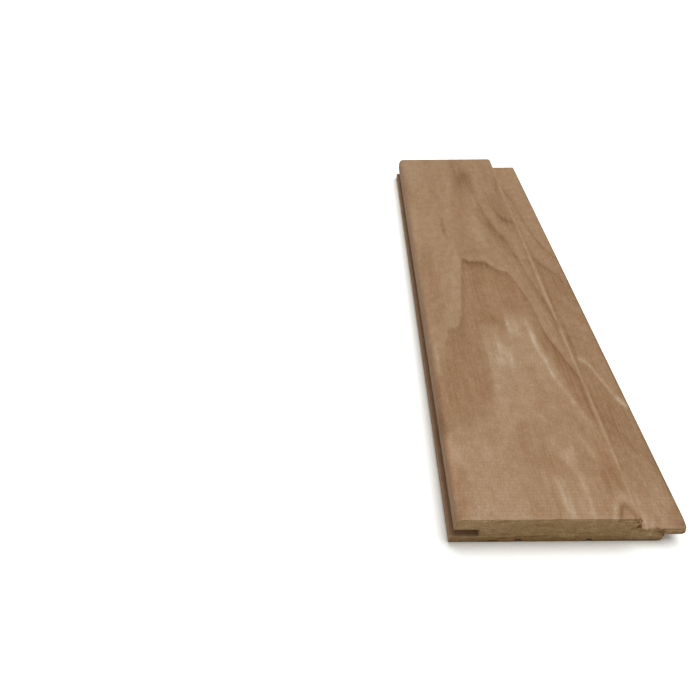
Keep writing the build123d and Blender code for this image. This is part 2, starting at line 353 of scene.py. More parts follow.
# Areas of darker or redder wood, or of paler wood below zero, the last three being painted shade and
# light as marked: softness of the rim in mm, strength for the stain, strength for the tint, and
# corners as above
PATCHES = [
    (0.8, 0.00, 0.16, [(5, 53), (20, 52), (25, 60), (28.2, 68), (29.3, 80), (29.2, 95),
                       (29, 112), (30, 117), (36, 117), (41, 113.5), (42.3, 118), (43.5, 127),
                       (50, 129), (55, 127), (57, 121), (59.6, 122), (58.9, 134), (57.4, 142),
                       (55.2, 153), (53, 163), (50, 163.5), (46, 168), (42, 174), (31, 177),
                       (29.2, 178), (27.8, 173), (26, 160), (24, 144), (22, 130), (20.2, 117),
                       (19, 113), (13, 112.5), (12, 106), (9, 98), (8.5, 88), (5, 80), (2, 76),
                       (2, 62)]),
    (0.8, 0.00, 0.22, [(56.5, 118), (59.5, 122), (60.6, 110), (62.6, 100), (64.5, 92), (66.2, 85),
                       (67.9, 80), (68.5, 72), (68.6, 50), (66, 48), (64.5, 56), (62.2, 66),
                       (60.6, 77), (58.8, 88), (57.2, 98), (56.2, 108)]),
    (2.0, 0.00, 0.12, [(61, 45), (66, 47), (68.8, 45), (68.8, 12), (62, 13), (58, 16), (59.5, 23),
                       (62, 31), (61.5, 39)]),
    (0.8, 0.00, -0.20, [(34.5, 84), (41.5, 84), (41.8, 95), (38, 99), (37, 106), (35.5, 108),
                        (34.8, 98), (33, 92)]),
    (1.0, 0.00, -0.07, [(28.8, 76), (34.5, 76), (35.2, 98), (36, 106), (31, 107), (28.8, 98)]),
    (0.7, 0.00, -0.19, [(42.7, 108), (48, 107), (49, 117), (47, 124), (43.8, 124), (42.7, 117)]),
    (1.5, 0.00, -0.08, [(2.5, 39), (12, 39), (19, 36), (23, 43), (24, 60), (28, 75), (34, 76),
                        (34, 50), (33, 40), (32, 20), (29, 6), (27, 0), (8, 0), (8, 26), (3, 28)]),
    (2.1, 0.31, 0.06, [(40.5, 279), (45.5, 278), (50, 284), (50, 293), (47, 297), (43.5, 297),
                       (40.8, 288)]),
    (1.8, 0.04, 0.02, [(37.5, 264), (48.5, 262), (49.5, 279), (39, 279)]),
    (0.8, 0.00, 0.08, [(1, 115), (11, 118), (13, 140), (12, 160), (11, 174), (1, 174)]),
    (1.6, 0.15, 0.00, [(5, 172), (11, 172), (11.5, 184), (9, 193), (6, 193)]),
    (1.5, 0.08, 0.00, [(28, 182), (42, 178), (53, 167), (58, 172), (59, 185), (56, 205), (52, 217),
                       (49, 222), (47, 206), (40, 196), (37, 205), (34, 213), (27.5, 212)]),
    (1.5, 0.00, -0.03, [(14, 115), (18.5, 117), (20.5, 128), (22.5, 140), (24.5, 152), (26.5, 168),
                        (28, 180), (27, 195), (14, 195), (12, 175), (13, 150), (14, 135)]),
    (2.0, 0.07, 0.00, [(57, 262), (67, 268), (68, 225), (61, 231), (58, 242)]),
    (0.9, 0.00, 0.10, [(29, 117), (35.5, 117), (38.5, 114.5), (41, 113.3), (42.2, 117), (42, 122),
                       (37, 126), (30, 125)]),
    (2.5, 0.00, 0.08, [(76, 48), (84, 50), (86, 62), (81, 82), (76, 88)]),
    (2.5, 0.06, 0.02, [(75, 185), (85, 163), (85, 152), (75, 152)]),
    (2.0, 0.00, -0.07, [(74.5, 0), (88, 0), (86, 16), (74.5, 18)]),
    (4.0, 0.10, 0.00, [(17, 325), (17, 245), (28, 228), (32, 215), (50, 202), (66, 178), (72, 150),
                       (72, 325)]),
    (2.5, 0.09, 0.01, [(36, 325), (36, 262), (50, 262), (50, 325)]),
    (3.0, 0.07, 0.00, [(59, 300), (57, 225), (66, 200), (72, 195), (72, 300)]),
    (3.0, 0.00, -0.10, [(0, -4), (29, -4), (28, 20), (20, 32), (0, 38)]),
    (1.5, 0.00, -0.12, [(42.5, 0), (56, 0), (55, 22), (46, 26), (42.5, 18)]),
    (2.0, 0.00, -0.10, [(28.8, 50), (46, 50), (57, 66), (55, 84), (53, 100), (52, 122), (43, 122),
                        (42.8, 107), (29, 107)]),
    (2.0, 0.11, 0.02, [(30, 182), (46, 179), (45, 194), (33, 200)]),
    (1.5, 0.09, 0.00, [(57.5, 190), (56.5, 166), (59, 146), (61.5, 122), (63, 106), (68.6, 92),
                       (68.8, 178), (62, 181)]),
    (2.0, 0.00, 0.06, [(42, 170), (53, 161), (56, 147), (52, 140), (42, 150)]),
    (1.5, 0.06, 0.04, [(73.5, 18), (90, 18), (90, 325), (73.5, 325)]),
    (2.5, 0.00, 0.10, [(75, 38), (88, 38), (86, 62), (75, 68)]),
    (2.0, 0.00, 0.08, [(74, 162), (83, 158), (85, 142), (74, 142)]),
    # painted shade and painted sheen: darker and greyer far from the front end (these two)
    (4.0, 0.10, -0.14, [(73.5, 222), (90, 222), (90, 330), (73.5, 330)]),
    (4.0, 0.11, -0.12, [(-4, 330), (-4, 258), (36, 258), (72, 240), (72, 330)]),
    # painted light: lighter and warmer towards the front end
    (6.0, -0.145, 0.15, [(-10, -30), (75, -30), (75, 62), (-10, 72)]),
]


def drawn_in(x, y):
    """Places with their lengths along the grain shortened, since the figure is drawn out there."""
    return np.column_stack((x, y / GRAIN_STRETCH))


def spans(at, places):
    """Distances from each point of the first list to each of the second."""
    return np.linalg.norm(at[:, None] - places[None], axis=2)


def ring_surface():
    """A function of x and y in mm that gives the ring number as it would be at face height."""
    points = [(level, *point) for level, edge in RING_EDGES for point in edge]
    level, x, y, _ = np.array(points, float).T
    level = level - np.where(x > LEDGE_FROM, board_thickness / MM - LEDGE_HEIGHT, 0.0) / RING_PITCH
    places = drawn_in(x, y)
    plane = np.column_stack((np.ones(len(places)), places))
    system = np.block([[spans(places, places), plane], [plane.T, np.zeros((3, 3))]])
    weights = np.linalg.solve(system, np.concatenate((level, np.zeros(3))))

    def surface(x, y):
        at = drawn_in(x, y)
        return spans(at, places) @ weights[:-3] + weights[-3] + at @ weights[-2:]

    return surface


def edge_darkness(x, y):
    """How dark the ring edges are at each place, from the nearest points of RING_EDGES."""
    points = np.array([point for _, edge in RING_EDGES for point in edge], float)
    reach = spans(drawn_in(x, y), drawn_in(points[:, 0], points[:, 1]))
    shares = 1 / (reach ** 2 + EDGE_BLEND) ** 2
    return shares @ points[:, 2] / shares.sum(axis=1)


def distance_to(path, at):
    """How far each place is from a path of straight runs."""
    path = np.array(path, float)
    nearest = np.full(len(at), np.inf)
    for a, b in zip(path, path[1:]):
        run = b - a
        along = np.clip((at - a) @ run / (run @ run), 0, 1)
        nearest = np.minimum(nearest, np.linalg.norm(at - a - along[:, None] * run, axis=1))
    return nearest


def stroke_cover(at, path, half_width):
    """1 on the path and less with the distance from it."""
    return np.exp(-((distance_to(path, at) / half_width) ** 2))


def patch_cover(at, corners, softness):
    """1 well inside the outline of an area, 0 well outside it, and one half on the outline."""
    side = np.where(inside_outline(at, corners), 1.0, -1.0)
    reach = distance_to(np.vstack((corners, corners[:1])), at)
    return 0.5 + 0.5 * np.tanh(side * reach / softness)


def painted(strokes, patch_entry, x, y, z):
    """The sum of the strokes and patches at each place. The entry picks a patch's strength."""
    at = drawn_in(x, y)
    total = np.zeros(len(x))
    for half_width, strength, path in strokes:
        total += strength * stroke_cover(at, drawn_in(*np.transpose(path)), half_width)
    for patch in PATCHES:
        if patch[patch_entry]:
            corners = drawn_in(*np.transpose(patch[3]))
            total += patch[patch_entry] * patch_cover(at, corners, patch[0])
    surface = np.where(x > LEDGE_FROM, LEDGE_HEIGHT, board_thickness / MM)
    return total * np.exp(-((np.maximum(surface - z, 0) / STROKE_DEPTH) ** 2))


# Marks on the sawn front end in mm: half width, strength, and points (x, z) of the section.
# Stains are darker and tints redder, or both lighter where the strength is below zero. Some of the
# stains are painted shade, as marked.
END_STAINS_AND_SHADE = [
    (0.7, 0.10, [(16, 12.2), (19, 13.2), (21, 13.9)]),
    (0.6, 0.17, [(19.4, 5.6), (23, 5.3)]),
    (0.4, 0.13, [(18, 4.6), (20.6, 4.5)]),
    (0.4, 0.60, [(15.5, 1.0), (17.5, 1.1), (18.8, 1.6)]),
    (0.4, 0.50, [(19.2, 2.3), (21.3, 2.4)]),
    (0.35, 0.18, [(21.3, 2.5), (25, 2.8), (25.6, 3.5)]),
    (0.4, -0.14, [(20, 1.5), (24, 1.5)]),
    (0.5, 0.20, [(27.2, 2.9), (27.7, 3.5)]),
    (0.4, 0.08, [(15.6, 8.7), (17, 8.5)]),
    (0.45, 0.20, [(32, 11.3), (33.5, 10.5), (35.2, 10.6)]),
    (0.4, -0.12, [(33.8, 9.7), (35, 9.6)]),
    (0.45, 0.12, [(36, 12.5), (38.3, 12.0)]),
    (0.4, -0.12, [(34, 13.6), (36.6, 13.6)]),
    (0.4, 0.10, [(25.1, 7.4), (24.5, 6.5)]),
    (0.5, 0.08, [(30.2, 6.4), (33, 6.3)]),
    (0.5, 0.24, [(28.8, 3.4), (30, 3.6), (33, 3.6)]),
    (0.5, 0.34, [(33.4, 3.7), (37.2, 4.1)]),
    (0.7, 0.10, [(25, 2.6), (31, 2.4)]),
    (0.35, 0.16, [(38, 5.0), (38.6, 4.7)]),
    (0.35, 0.14, [(39.4, 4.9), (40.1, 4.7)]),
    (0.5, 0.12, [(39.4, 2.6), (42.2, 2.5)]),
    (0.4, 0.14, [(43.4, 1.8), (45.2, 1.7)]),
    (0.4, 0.18, [(40.8, 9.3), (41.3, 9.1)]),
    (0.35, 0.14, [(40.9, 7.0), (41.8, 6.1)]),
    (1.4, 0.07, [(41, 8.5), (42.5, 6)]),
    (0.3, 0.20, [(42.2, 9.4), (42.9, 8.0), (43.5, 6.8), (44.2, 5.4)]),
    (0.3, 0.18, [(43.4, 9.2), (44.1, 7.8), (44.7, 6.7), (45.0, 5.8)]),
    (0.3, -0.14, [(41.8, 9.0), (42.3, 7.6), (43.0, 6.2), (43.7, 4.6)]),
    (0.3, -0.12, [(43.1, 8.9), (43.8, 7.4)]),
    (1.2, -0.20, [(42.5, 4.2), (46.5, 4.3)]),
    (0.3, 0.24, [(46.9, 8.7), (47.4, 7.4)]),
    (0.4, 0.12, [(44.9, 6.4), (46.6, 6.2)]),
    (0.4, 0.08, [(44.6, 9.3), (46.2, 9.2)]),
    (0.35, 0.24, [(48.2, 3.4), (49, 2.8), (50, 2.4)]),
    (0.35, -0.10, [(49.3, 3.5), (50, 3.2)]),
    (0.6, 0.12, [(49.4, 5.9), (53.5, 5.7), (54.2, 5.0)]),
    (0.8, -0.16, [(48.8, 7.5), (54, 7.4)]),
    (0.3, 0.14, [(55, 8.9), (56.5, 8.8)]),
    (0.3, 0.10, [(50.2, 8.8), (51.5, 8.7)]),
    (0.4, 0.10, [(57.2, 9.8), (58.3, 9.6)]),
    (0.35, 0.13, [(57.6, 6.7), (58.3, 6.5)]),
    (0.35, 0.14, [(59.9, 6.9), (60.4, 6.0)]),
    (0.35, -0.16, [(57.5, 4.3), (57.8, 3.4)]),
    (0.4, 0.16, [(53.4, 3.2), (54.3, 2.6)]),
    (0.5, 0.10, [(58.3, 3.1), (60.2, 2.9)]),
    (0.4, 0.14, [(60.8, 3.8), (61.8, 2.0), (62.2, 1.0)]),
    (0.4, 0.16, [(66.4, 3.5), (67.1, 2.5)]),
    (0.35, 0.12, [(63.7, 3.2), (64.3, 1.5)]),
    (0.35, 0.12, [(70.1, 3.4), (70.6, 2.0)]),
    (0.5, 0.09, [(62.2, 10.5), (63.4, 10.3)]),
    (0.35, 0.42, [(69.5, 14.6), (69.0, 13.4), (69.4, 12.2), (70.5, 11.4)]),
    (0.3, 0.34, [(69.7, 14.5), (70.5, 13.6)]),
    (0.3, -0.14, [(69.9, 13.3), (70.1, 12.9)]),
    (0.4, 0.22, [(69.3, 12.3), (70.3, 11.9)]),
    # painted shade in the chipped corner at the root of the wall (these two)
    (0.65, 1.00, [(70.5, 9.4), (71.1, 9.3)]),
    (0.4, 0.38, [(68.2, 8.6), (69.5, 8.5), (70.5, 8.8)]),
    (0.35, 0.30, [(71.3, 7.7), (71.9, 6.7), (72.2, 6.2)]),
    (0.5, 0.10, [(72.5, 6.8), (74.4, 6.8)]),
    (0.35, -0.40, [(73.8, 8.4), (74.6, 7.4)]),
    (0.3, 0.14, [(75.0, 6.3), (75.3, 8.0)]),
    (0.35, 0.25, [(76.2, 8.0), (78.4, 7.9)]),
    (0.4, 0.76, [(79.2, 6.4), (80.2, 6.1), (80.8, 5.3), (81.4, 4.5), (81.6, 3.6)]),
    (1.2, 0.14, [(77.5, 5.6), (80.5, 5)]),
    (0.35, 0.35, [(80.3, 7.8), (81.0, 6.4), (81.6, 5.4), (82.0, 4.7)]),
    (0.3, -0.14, [(80.8, 5.9), (81.4, 4.9)]),
    (0.7, -0.10, [(76, 4.2), (78.5, 3.7)]),
    (0.35, 0.12, [(74.5, 2.5), (76, 2.3)]),
    (0.35, 0.14, [(76.6, 3.1), (77.2, 1.6)]),
    # these two lighten the foot on the tongue's side, easing the painted shade there
    (1.6, -0.15, [(71, 1.7), (79, 1.7)]),
    (0.4, -0.10, [(70.8, 1.8), (74, 1.8)]),
    # painted shade: a dark line along the foot of the sawn end (these two)
    (0.45, 0.28, [(12, 0.3), (81, 0.3)]),
    (0.45, 0.20, [(59, 0.4), (80, 0.4)]),
    (0.35, 0.12, [(81, 7.9), (84.5, 7.8), (86.5, 7.9)]),
    (1.2, -0.12, [(83.5, 6.5), (88, 6.5)]),
    (0.8, -0.12, [(70.2, 10.3), (70.6, 12.2)]),
    (0.4, -0.12, [(82.3, 6.9), (87, 6.9)]),
    (0.3, 0.30, [(82.5, 4.6), (86.5, 4.7)]),
    (0.45, 0.80, [(88.3, 5.6), (89.2, 4.5)]),
    (2.2, -0.09, [(5, 11), (14, 9.5), (14, 6.5)]),
    (2.0, -0.09, [(65, 13), (68, 11)]),
    (1.1, -0.14, [(62.2, 14.2), (62.4, 12.8)]),
    (1.6, -0.09, [(3.5, 10.5), (7, 10)]),
]
END_TINTS = [
    (0.8, 0.10, [(12.6, 11.5), (14, 9.8)]),
    (1.0, -0.12, [(5.5, 12.2), (7, 12.6)]),
    (0.8, -0.12, [(12, 13.6), (12.6, 10.5)]),
    (1.0, -0.09, [(29, 12.2), (36, 12.6)]),
    (0.6, 0.14, [(31.6, 10.9), (38, 10.9)]),
    (0.5, 0.12, [(29, 3.3), (33, 3.4)]),
    (0.6, 0.10, [(39, 2.7), (42.3, 2.5)]),
    (0.7, 0.08, [(26.3, 10.5), (28.2, 10.4)]),
    (0.5, -0.16, [(69.9, 12.8), (70.2, 13.2)]),
    (1.0, -0.12, [(76, 4.8), (78.5, 4.0)]),
    (0.4, 0.24, [(76.6, 8.2), (79.2, 8.3)]),
    (0.5, 0.14, [(55.6, 3.5), (56.4, 3.2)]),
    (0.6, 0.12, [(72.4, 6.9), (74.4, 6.8)]),
    (1.2, -0.06, [(83.5, 6.5), (88, 6.5)]),
]
END_MARK_DEPTH = 0.8  # mm into the wood
END_MARK_GAIN = 1.4

# Chips out of the front end's arris in mm: x, z, reach, depth into the section and along it. Where
# the depth is below zero a splinter stands out.
CHIPS = [
    (71.0, 9.3, 0.65, 0.55, 1.2),
    (70.3, 13.6, 0.45, 0.20, 0.5),
    (71.4, 11.6, 1.80, 0.30, 1.5),
    (74.2, 8.3, 0.55, 0.45, 0.8),
    (78.0, 8.3, 0.50, 0.22, 0.6),
    (80.6, 8.3, 0.40, 0.18, 0.5),
    (89.9, 7.3, 1.10, 0.42, 3.0),
    (89.9, 7.3, 1.00, 0.50, 1.0),
    (88.9, 5.2, 0.50, -0.45, 1.2),
    (82.0, 4.3, 0.50, 0.20, 0.5),
    (82.0, 0.3, 0.50, 0.20, 0.5),
    (17.0, 15.0, 0.5, 0.08, 0.4),
    (39.5, 15.0, 0.6, 0.10, 0.5),
    (58.0, 15.0, 0.5, 0.09, 0.4),
]

# Visual board
FACE_SPACING = 0.6 * MM
HIDDEN_SPACING = 2.6 * MM
FACE_BOTTOM = 8.2 * MM  # what lies above this height is meshed finely
FIRST_STATION = 0.12 * MM
STATION_GROWTH = 1.3
WIDEST_STATION = 1.6 * MM
CAP_SPACING = 0.5 * MM
CAP_JITTER = 0.2  # share of the spacing
CAP_CLEARANCE = 0.55  # share of the spacing that the outline keeps free
CAP_FOLLOW = 1.2 * MM  # how far in from the outline the ends move with it
CAP_SEED = 5
SAME_CORNER_DIGITS = 6
SAME_PLACE = 1e-6
MERGE_REACH = 1e-9
SHARP_ANGLE = radians(35)

# Wear of the board, in mm. A noise has its spots for each mm along each axis, and its seed.
END_ZONE = 2.5  # how much of each end frays
FRAY = 0.10  # that the cut arris is broken back where the noise is 1
FRAY_FADE = 0.35
FRAY_FROM = -0.25  # noise below which the arris stays whole
FRAY_LIMIT = 1.2
COARSE_FRAY = ((0.9, 0.5, 0.9), 3.0)
FINE_FRAY = ((2.6, 1.2, 2.6), 9.0)
FINE_FRAY_SHARE = 0.6
DEEPEST_CHIP = 0.6
CHIP_BITE = 0.5  # share of a chip's length that it is cut into the end
CHIP_ZONE = 9.0  # from the end, past which no chip is felt
SAW_RELIEF = 0.05
SAW_LEVEL = 0.8  # noise that the sawn end is levelled to
SAW_LEAN = 0.47  # across for each mm of height, of the saw marks on the ends
SAW_LINES = ((1.4, 0.0, 0.35), 15.0)
SAW_PITS = ((1.9, 1.9, 1.9), 21.0)
SAW_PIT_SHARE = 0.5
DEEP_FROM = 8.0  # height below which the ring edges fade to DEEP_EDGE
DEEP_FADE = 3.0


def end_outline(node):
    """Section outline (x, z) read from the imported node's front end, in order round it."""
    vertices = node.data.vertices
    front = min(v.co.y for v in vertices)

    def key(i):
        x, y, z = vertices[i].co
        on_end = abs(y - front) < SAME_PLACE
        return (round(x, SAME_CORNER_DIGITS), round(z, SAME_CORNER_DIGITS)) if on_end else None

    seen = set()
    for polygon in node.data.polygons:
        corners = [key(i) for i in polygon.vertices]
        if None not in corners:
            seen.update(zip(corners, corners[1:] + corners[:1]))
    following = {a: b for (a, b) in seen if (b, a) not in seen}
    start = min(following)
    loop = [start]
    while following[loop[-1]] != start:
        loop.append(following[loop[-1]])
    return np.array(loop)


def resampled(loop):
    """The closed outline with points added, closer together on the faces that are seen."""
    points = []
    for a, b in zip(loop, np.roll(loop, -1, axis=0)):
        spacing = FACE_SPACING if min(a[1], b[1]) > FACE_BOTTOM else HIDDEN_SPACING
        steps = max(1, int(np.ceil(np.linalg.norm(b - a) / spacing)))
        points += [a + (b - a) * i / steps for i in range(steps)]
    return np.array(points)


def stations():
    """Places along the board, close together at its ends."""
    gaps, reached = [], 0.0
    step = FIRST_STATION
    while reached + step < board_length / 2:
        gaps.append(step)
        reached += step
        step = min(step * STATION_GROWTH, WIDEST_STATION)
    half = np.concatenate(([0.0], np.cumsum(gaps)))
    return np.concatenate((board_low.y + half, (board_high.y - half)[::-1]))


def inside_outline(points, loop):
    """Which points lie inside the closed outline."""
    inside = np.zeros(len(points), bool)
    for a, b in zip(loop, np.roll(loop, -1, axis=0)):
        if a[1] != b[1]:
            crosses = (a[1] > points[:, 1]) != (b[1] > points[:, 1])
            x_at = a[0] + (points[:, 1] - a[1]) * (b[0] - a[0]) / (b[1] - a[1])
            inside ^= crosses & (points[:, 0] < x_at)
    return inside


def cap_points(loop, rng):
    """Points inside the outline on a jittered grid, and the triangles that join all of them."""
    low, high = loop.min(axis=0), loop.max(axis=0)
    columns = np.arange(low[0], high[0], CAP_SPACING)
    rows = np.arange(low[1], high[1], CAP_SPACING)
    grid = np.array([(x, z) for x in columns for z in rows])
    grid += rng.uniform(-CAP_JITTER, CAP_JITTER, grid.shape) * CAP_SPACING
    clear = spans(grid, loop).min(axis=1) > CAP_CLEARANCE * CAP_SPACING
    grid = grid[clear & inside_outline(grid, loop)]
    count = len(loop)
    every = [Vector(p) for p in np.vstack((loop, grid))]
    edges = [(i, (i + 1) % count) for i in range(count)]
    found = delaunay_2d_cdt(every, edges, [], 1, MERGE_REACH)
    source = [sources[0] for sources in found[3]]
    return grid, [tuple(source[i] for i in face) for face in found[2]]


def outward(loop):
    """Unit normals of the closed outline, pointing out of the section, as rows of x, y and z."""
    run = np.roll(loop, -1, axis=0) - np.roll(loop, 1, axis=0)
    area = np.sum(loop[:, 0] * np.roll(loop[:, 1], -1) - np.roll(loop[:, 0], -1) * loop[:, 1])
    normal = np.column_stack((run[:, 1], np.zeros(len(loop)), -run[:, 0])) * np.sign(area)
    return normal / np.linalg.norm(normal, axis=1)[:, None]


def noise_at(places, spots, seed):
    """Noise from -1 to 1, with so many spots for each unit of length along each axis."""
    shift = Vector((seed, 0, 0))
    return np.array([noise.noise(Vector(p) + shift) for p in places * spots])


def worn(co, normals):
    """The board's points in mm, with saw marks on its ends, frayed cut arrises and small chips."""
    worn_co = co.copy()
    for end_y, inward in ((0.0, 1.0), (board_length / MM, -1.0)):
        near = np.flatnonzero(np.abs(co[:, 1] - end_y) < END_ZONE)
        at = co[near]
        depth = np.abs(at[:, 1] - end_y)
        ragged = noise_at(at, *COARSE_FRAY) + FINE_FRAY_SHARE * noise_at(at, *FINE_FRAY)
        pushed = np.clip(ragged - FRAY_FROM, 0, FRAY_LIMIT) * FRAY * np.exp(-depth / FRAY_FADE)
        worn_co[near] -= normals[near] * pushed[:, None]
        leaning = at + np.outer(at[:, 2], (SAW_LEAN, 0.0, 0.0))
        saw = noise_at(leaning, *SAW_LINES) + SAW_PIT_SHARE * noise_at(at, *SAW_PITS)
        on_end = depth < SAME_PLACE
        worn_co[near[on_end], 1] += inward * SAW_RELIEF * (SAW_LEVEL + saw[on_end])
    near = np.flatnonzero(co[:, 1] < CHIP_ZONE)
    at = co[near]
    for x, z, reach, into, along in CHIPS:
        spread = ((at[:, 0] - x) ** 2 + (at[:, 2] - z) ** 2) / reach ** 2 + (at[:, 1] / along) ** 2
        cover = np.exp(-spread)
        worn_co[near] -= normals[near] * (into * cover)[:, None]
        if into > 0:
            worn_co[near, 1] += min(CHIP_BITE * along, DEEPEST_CHIP) * cover
    return worn_co


def add_floats(mesh, name, values):
    """One number for each point of a mesh, for the material to read."""
    attribute = mesh.attributes.new(name, "FLOAT", "POINT")
    attribute.data.foreach_set("value", np.asarray(values, np.float32))


def add_figure(mesh, co):
    """The ring number, edge darkness, stains with painted shade and tints with painted light at each
    of the points, given in mm.
    """
    x, y, z = co.T
    add_floats(mesh, "ring", ring_surface()(x, y) + (board_thickness / MM - z) / RING_PITCH)
    deep = np.clip((DEEP_FROM - z) / DEEP_FADE, 0, 1)
    add_floats(mesh, "edge", edge_darkness(x, y) * (1 - deep) + DEEP_EDGE * deep)
    section = np.column_stack((x, z))
    front = np.exp(-((y / END_MARK_DEPTH) ** 2))
    kinds = (("stain_and_shade", STAINS_AND_SHADE, 1, END_STAINS_AND_SHADE), ("tint_and_light", TINTS_AND_LIGHT, 2, END_TINTS))
    for name, strokes, patch_entry, marks in kinds:
        total = painted(strokes, patch_entry, x, y, z)
        for half_width, strength, path in marks:
            cover = stroke_cover(section, path, half_width) * front
            total += END_MARK_GAIN * strength * cover
        add_floats(mesh, name, total)


def build_board(node):
    """The board's finished mesh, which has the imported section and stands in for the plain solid."""
    rng = np.random.default_rng(CAP_SEED)
    loop = resampled(end_outline(node))
    ys = stations()
    count = len(loop)
    co = [np.array([(x, y, z) for y in ys for x, z in loop])]
    normals = [np.tile(outward(loop), (len(ys), 1))]
    faces = []
    for s in range(len(ys) - 1):
        for i in range(count):
            j = (i + 1) % count
            faces.append((s * count + j, s * count + i, (s + 1) * count + i, (s + 1) * count + j))
    grid, triangles = cap_points(loop, rng)
    reach = spans(grid, loop)
    follow = np.exp(-((reach.min(axis=1) / CAP_FOLLOW) ** 2))
    for station, y, turn in ((0, ys[0], 1), (len(ys) - 1, ys[-1], -1)):
        base = sum(len(v) for v in co)
        co.append(np.array([(x, y, z) for x, z in grid]))
        normals.append(outward(loop)[reach.argmin(axis=1)] * follow[:, None])
        for face in triangles:
            ends = [station * count + i if i < count else base + i - count for i in face]
            faces.append(tuple(ends[::turn]))
    corner = np.array((board_low.x, board_low.y, 0.0)) / MM
    co = np.vstack(co) / MM - corner
    mesh = bpy.data.meshes.new("board")
    mesh.from_pydata(((worn(co, np.vstack(normals)) + corner) * MM).tolist(), [], faces)
    mesh.polygons.foreach_set("use_smooth", [True] * len(mesh.polygons))
    mesh.set_sharp_from_angle(angle=SHARP_ANGLE)
    add_figure(mesh, co)
    return placed("board", mesh)


class Wire:
    """A number in a material's node tree. Sums and products of wires add the nodes for them."""

    def __init__(self, tree, socket):
        self.tree = tree
        self.socket = socket

    def math(self, operation, *others):
        node = self.tree.nodes.new("ShaderNodeMath")
        node.operation = operation
        for entry, value in zip(node.inputs, (self, *others)):
            feed(self.tree, entry, value)
        return Wire(self.tree, node.outputs[0])

    def __add__(self, other):
        return self.math("ADD", other)

    def __sub__(self, other):
        return self.math("SUBTRACT", other)

    def __mul__(self, other):
        return self.math("MULTIPLY", other)

    def __truediv__(self, other):
        return self.math("DIVIDE", other)

    __radd__ = __add__

    def __rsub__(self, other):
        return self * -1.0 + other

    def falloff(self, width):
        """1 where the wire is 0, and less with distance, by a decay of this width."""
        return (self / -width).math("EXPONENT")

    def rise(self, low, high):
        """0 below low, 1 above high, and smooth between."""
        node = self.tree.nodes.new("ShaderNodeMapRange")
        node.interpolation_type = "SMOOTHSTEP"
        feed(self.tree, node.inputs["Value"], self)
        node.inputs["From Min"].default_value = low
        node.inputs["From Max"].default_value = high
        return Wire(self.tree, node.outputs[0])


def feed(tree, entry, value):
    """Links a wire or socket to a node's input, or writes a constant there."""
    if isinstance(value, Wire):
        tree.links.new(value.socket, entry)
    elif isinstance(value, bpy.types.NodeSocket):
        tree.links.new(value, entry)
    else:
        entry.default_value = value


def emptied(owner, output_kind):
    """The node tree of a material or world with nothing but its output node, and that node."""
    owner.use_nodes = True
    owner.node_tree.nodes.clear()
    return owner.node_tree, owner.node_tree.nodes.new(output_kind)


def scaled(tree, vector, factors, shift=(0, 0, 0)):
    """A vector socket times one factor for each axis, plus a shift."""
    node = tree.nodes.new("ShaderNodeVectorMath")
    node.operation = "MULTIPLY_ADD"
    feed(tree, node.inputs[0], vector)
    node.inputs[1].default_value = factors
    node.inputs[2].default_value = shift
    return node.outputs[0]


def split(tree, vector):
    """Three wires from a vector socket."""
    node = tree.nodes.new("ShaderNodeSeparateXYZ")
    feed(tree, node.inputs[0], vector)
    return [Wire(tree, output) for output in node.outputs]


def joined(tree, *wires):
    """A vector socket from three wires."""
    node = tree.nodes.new("ShaderNodeCombineXYZ")
    for entry, wire in zip(node.inputs, wires):
        feed(tree, entry, wire)
    return node.outputs[0]


def grain(tree, place, along, across, seed, detail):
    """Noise about zero whose spots are so many mm long down the grain and wide across it."""
    node = tree.nodes.new("ShaderNodeTexNoise")
    stretch = (1 / across, 1 / along, 1 / across)
    feed(tree, node.inputs["Vector"], scaled(tree, place, stretch, (seed, seed, 0)))
    node.inputs["Scale"].default_value = 1.0
    node.inputs["Detail"].default_value = detail
    return Wire(tree, node.outputs["Fac"]) * 2.0 - 1.0


def mixed(noises, shares):
    """The sum of the named noises, each by its share."""
    return sum(noises[name] * share for name, share in shares.items())


def painted_on(tree, name):
    """A number that the mesh carries."""
    node = tree.nodes.new("ShaderNodeAttribute")
    node.attribute_name = name
    return Wire(tree, node.outputs["Fac"])


# Colour of the planed wood. Heat from the kiln reddens it, stain only darkens it; these two channels
# also carry painted light and painted shade. Each has a rate for each channel, and so has the sawn
# end.
WOOD = (0.402, 0.251, 0.144)
HEAT_AND_LIGHT_RATES = (0.64, 1.00, 1.35)
STAIN_AND_SHADE_RATES = (0.80, 1.00, 1.27)
END_RATES = (-0.03, -0.05, 0.16)

# Noises of the wood: length of a spot along the grain and width across it in mm, seed, detail
NOISES = {
    "wander": (60, 14, 1, 2.0),
    "wave": (16, 1.6, 2, 2.0),
    "tremor": (5, 0.45, 3, 2.0),
    "fibre": (4.5, 0.32, 4, 1.0),
    "short_fibre": (1.6, 0.5, 5, 1.0),
    "streak": (26, 1.0, 6, 2.0),
    "broad_streak": (70, 3.5, 7, 2.0),
    "blotch": (50, 16, 8, 2.0),
    "mottle": (5, 4, 9, 3.0),
    "speckle": (4, 0.55, 10, 3.0),
    "fleck": (0.9, 0.8, 12, 1.0),
    "cloud": (2.6, 2.0, 13, 1.0),
}
LAYERS = (30, 0.9, 11, 3.0)
LAYER_STRETCH = (0.25, 1, 1)
SAW_MARKS = (30, 0.5, 14, 1.0)
SAW_MARK_STRETCH = 0.15  # up the end

# How much of each noise goes into the growth rings' place, the heat and the stain
RING_SHARES = {"wander": 0.08, "wave": 0.05, "tremor": 0.03}
HEAT_SHARES = {"blotch": 0.10, "mottle": 0.20, "broad_streak": 0.10}
STAIN_SHARES = {"fibre": 0.15, "short_fibre": 0.22, "fleck": 0.15, "streak": 0.07, "cloud": 0.06}
END_SHARES = {"layers": 0.50, "speckle": 0.26, "saw_marks": 0.26}
TINT_STREAKS = 0.9  # how much the streaks break up a tint
STAIN_STREAKS = 0.6

